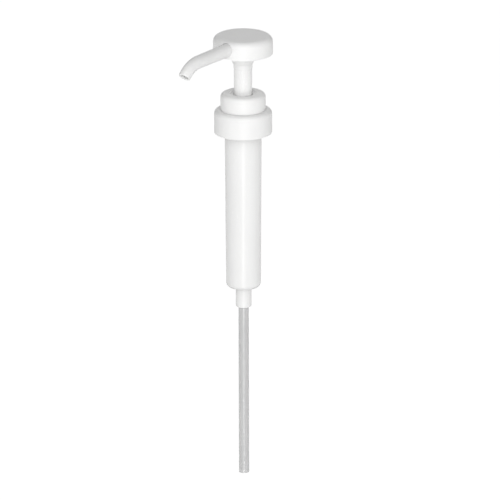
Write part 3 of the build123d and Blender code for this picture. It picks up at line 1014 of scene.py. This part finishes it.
def pump_cylinder():
    """Housing: turret with its snap bead, flange, tapered cylinder, inlet seat and foot."""
    flange_r, foot_bottom, turret_top = extent("pump_cylinder")
    gasket_top = extent("bottle_gasket")[2]
    taper_start = extent("closure_cap")[1]
    socket_r = extent("dip_tube")[0] + SOCKET_GAP
    body = lathe(
        "pump_cylinder_housing",
        outline(
            (BORE_R, turret_top, 0.35),
            (TURRET_R, turret_top, 0.3),
            *snap_bulge(TURRET_R, turret_top - BEAD_DROP, TURRET_BEAD, BEAD_HALF),
            (TURRET_R, FLANGE_TOP, 0.25),
            (flange_r, FLANGE_TOP, 0.4),
            (flange_r, gasket_top, 0.2),
            (BODY_TOP_R, gasket_top, 0.1),
            (BODY_TOP_R, taper_start, 0),
            (BODY_BOTTOM_R, BODY_BOTTOM, BODY_ROUND),
            (FOOT_R, BODY_BOTTOM, 0.6),
            (FOOT_R, foot_bottom, FOOT_ROUND),
            (socket_r, foot_bottom, 0),
            (socket_r, SOCKET_TOP, 0.1),
            (INLET_R, SOCKET_TOP, 0.1),
            (INLET_R, BORE_FLOOR - (INLET_CONE_R - INLET_R), 0.2),
            (INLET_CONE_R, BORE_FLOOR, 0.2),
            (BORE_R, BORE_FLOOR, BORE_FLOOR_ROUND),
        ),
    )
    rings = []
    for y in (BORE_R - VENT_REACH, BODY_TOP_R + OVERCUT):
        rings.append([(x, y, VENT_Z + z) for x, z in circle(VENT_R, VENT_SIDES)])
    return combine(body, skin("vent", rings), "DIFFERENCE")


def dip_tube():
    """Plain extruded tube, cut square, with a trace of burr rolled off its edges."""
    radius, bottom, top = extent("dip_tube")
    return lathe(
        "dip_tube_extrusion",
        outline(
            (TUBE_BORE_R, bottom, 0.1),
            (radius, bottom, 0.12),
            (radius, top, 0.12),
            (TUBE_BORE_R, top, 0.1),
        ),
        COARSE,
    )


# ---------------------------------------------------------------- return spring
def spring_rises(span):
    """Heights of the wire's centre: a closed coil at each end, an even pitch between them."""
    turns = ACTIVE_TURNS + 2 * CLOSED_TURNS
    opened = [0.0]
    for i in range(round(turns * SPRING_STEPS)):
        turn = (i + 0.5) / SPRING_STEPS
        from_end = min(turn, turns - turn) - CLOSED_TURNS
        opened.append(opened[-1] + ease(from_end / EASE_TURNS) / SPRING_STEPS)
    rise = (span - CLOSED_PITCH * turns) / opened[-1]
    return [CLOSED_PITCH * i / SPRING_STEPS + rise * o for i, o in enumerate(opened)]


def return_spring():
    """Compression spring with closed ends, ground flat where they bear."""
    outer, bottom, top = extent("return_spring")
    mean_r = outer - WIRE_R
    rings = []
    for i, rise in enumerate(spring_rises(top - bottom - 2 * GROUND_TIP)):
        angle = 2 * math.pi * i / SPRING_STEPS
        outward = Vector((math.cos(angle), math.sin(angle), 0))
        centre = outward * mean_r + Vector((0, 0, bottom + GROUND_TIP + rise))
        ring = []
        for x, y in circle(WIRE_R, WIRE_SIDES):
            point = centre + outward * x + Vector((0, 0, y))
            point.z = min(top, max(bottom, point.z))
            ring.append(point)
        rings.append(ring)
    coil = skin("return_spring_coil", rings)
    layer = coil.data.uv_layers.new(name="wire")
    for loop in coil.data.loops:
        point = coil.data.vertices[loop.vertex_index].co / MM
        across = math.hypot(point.x, point.y) - mean_r
        along = mean_r * math.atan2(point.y, point.x)
        layer.data[loop.index].uv = (along / WIRE_UV_LENGTH, across / WIRE_R)
    return coil


# ---------------------------------------------------------------- assembly
stand_for(head_cap(), "head_cap")
stand_for(spout_body(), "spout_body")
stand_for(pump_stem(), "pump_stem")
stand_for(outlet_valve_seat(), "outlet_valve_seat")
stand_for(piston_seal(), "piston_seal")
stand_for(thrust_washer(), "thrust_washer")
stand_for(collar(), "collar")
stand_for(stem_guide(), "stem_guide")
stand_for(seal_ring("guide_o_ring", GUIDE_RING_HALF), "guide_o_ring")
stand_for(seal_ring("stem_o_ring", STEM_RING_HALF), "stem_o_ring")
stand_for(stem_wiper(), "stem_wiper")
stand_for(bottle_gasket(), "bottle_gasket")
stand_for(closure_cap(), "closure_cap")
stand_for(pump_cylinder(), "pump_cylinder")
stand_for(dip_tube(), "dip_tube")

spring = return_spring()
stand_for(spring, "return_spring")
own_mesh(spring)

# These pieces keep their CAD meshes and only get a material.
for name in ("outlet_ball", "inlet_ball", "outlet_ball_stop", "inlet_ball_cage"):
    node = frame["nodes"][name]
    node.data.materials.clear()
    node.data.materials.append(MATERIALS[SLOTS[name]])

# ---------------------------------------------------------------- camera, light and floor
# From here on, lengths are metres.
TARGET = Vector((0, 0, -0.1053))
DISTANCE = 4.4
ELEVATION = math.radians(18.6)
AZIMUTH = math.radians(35)
ROLL = math.radians(-0.16)
LENS_FACTOR = 11.8174  # focal length over sensor width
SENSOR = 36
SHIFT_X = 0.013
FAR_CLIP = 50
SOFTBOX = 1.6
LIGHT_DISTANCE = 2.6
WORLD_GREY = 0.38
FLOOR_Z = -1.7
FLOOR_HALF = 20
FLOOR_GREY = 0.9
GLOW_START = 2.4
GLOW_FULL = 4.0
GLOW = 0.67

scene = bpy.context.scene
scene.view_settings.view_transform = "Standard"


def toward(azimuth, elevation):
    """Unit vector from the object to this side; azimuth 0 is the spout's side, in radians."""
    flat = math.cos(elevation)
    return Vector((math.sin(azimuth) * flat, -math.cos(azimuth) * flat, math.sin(elevation)))


def aim(thing, direction, distance):
    """Puts a light or camera at this distance on this side, looking at the target."""
    thing.matrix_world = (
        Matrix.Translation(TARGET + direction * distance)
        @ (-direction).to_track_quat("-Z", "Y").to_matrix().to_4x4()
    )


def softbox(
    name, azimuth, elevation, power, width=SOFTBOX, height=SOFTBOX, distance=LIGHT_DISTANCE
):
    """A plain rectangular area light that faces the object, with its power in watts."""
    data = bpy.data.lights.new(name, "AREA")
    data.shape = "RECTANGLE"
    data.size = width
    data.size_y = height
    data.energy = power
    light = bpy.data.objects.new(name, data)
    scene.collection.objects.link(light)
    aim(light, toward(azimuth, elevation), distance)


camera_data = bpy.data.cameras.new("camera")
camera_data.sensor_width = SENSOR
camera_data.lens = SENSOR * LENS_FACTOR
camera_data.shift_x = SHIFT_X
camera_data.clip_end = FAR_CLIP
camera = bpy.data.objects.new("camera", camera_data)
scene.collection.objects.link(camera)
aim(camera, toward(AZIMUTH, ELEVATION), DISTANCE)
camera.matrix_world = camera.matrix_world @ Matrix.Rotation(ROLL, 4, "Z")
scene.camera = camera

softbox("key", AZIMUTH, ELEVATION, power=25.4)
softbox("overhead", AZIMUTH, math.radians(46), power=13.4)
softbox("side_fill", AZIMUTH + math.radians(35), math.radians(22), power=2.7)
softbox("streak", AZIMUTH, -ELEVATION, power=6.6, width=0.5, height=1.0)
softbox("back_fill", AZIMUTH + math.pi, math.radians(12), power=4.4, distance=3.0)

world = bpy.data.worlds.new("studio")
world.use_nodes = True
backdrop = world.node_tree.nodes["Background"]
backdrop.inputs["Color"].default_value = (WORLD_GREY, WORLD_GREY, WORLD_GREY, 1)
scene.world = world


def pale_floor():
    """Floor material: it glows away from the object, to show white, and is clear from below."""
    material = bpy.data.materials.new("pale_floor")
    material.use_nodes = True
    tree = material.node_tree
    nodes = tree.nodes
    link = tree.links.new
    shader = nodes["Principled BSDF"]
    shader.inputs["Base Color"].default_value = (FLOOR_GREY, FLOOR_GREY, FLOOR_GREY, 1)
    shader.inputs["Roughness"].default_value = 0.9
    shader.inputs["Emission Color"].default_value = (1, 1, 1, 1)

    place = nodes.new("ShaderNodeTexCoord")
    reach = nodes.new("ShaderNodeVectorMath")
    reach.operation = "LENGTH"
    glow = nodes.new("ShaderNodeMapRange")
    glow.interpolation_type = "SMOOTHSTEP"
    glow.inputs["From Min"].default_value = GLOW_START
    glow.inputs["From Max"].default_value = GLOW_FULL
    glow.inputs["To Min"].default_value = 0.0
    glow.inputs["To Max"].default_value = GLOW
    link(place.outputs["Object"], reach.inputs[0])
    link(reach.outputs["Value"], glow.inputs["Value"])
    link(glow.outputs["Result"], shader.inputs["Emission Strength"])

    side = nodes.new("ShaderNodeNewGeometry")
    clear = nodes.new("ShaderNodeBsdfTransparent")
    mix = nodes.new("ShaderNodeMixShader")
    link(side.outputs["Backfacing"], mix.inputs[0])
    link(shader.outputs["BSDF"], mix.inputs[1])
    link(clear.outputs["BSDF"], mix.inputs[2])
    link(mix.outputs["Shader"], nodes["Material Output"].inputs["Surface"])
    return material


floor_corners = [
    (x * FLOOR_HALF, y * FLOOR_HALF, FLOOR_Z) for x, y in ((-1, -1), (1, -1), (1, 1), (-1, 1))
]
floor_mesh = bpy.data.meshes.new("floor")
floor_mesh.from_pydata(floor_corners, [], [(0, 1, 2, 3)])
floor_mesh.materials.append(pale_floor())
floor = bpy.data.objects.new("floor", floor_mesh)
scene.collection.objects.link(floor)
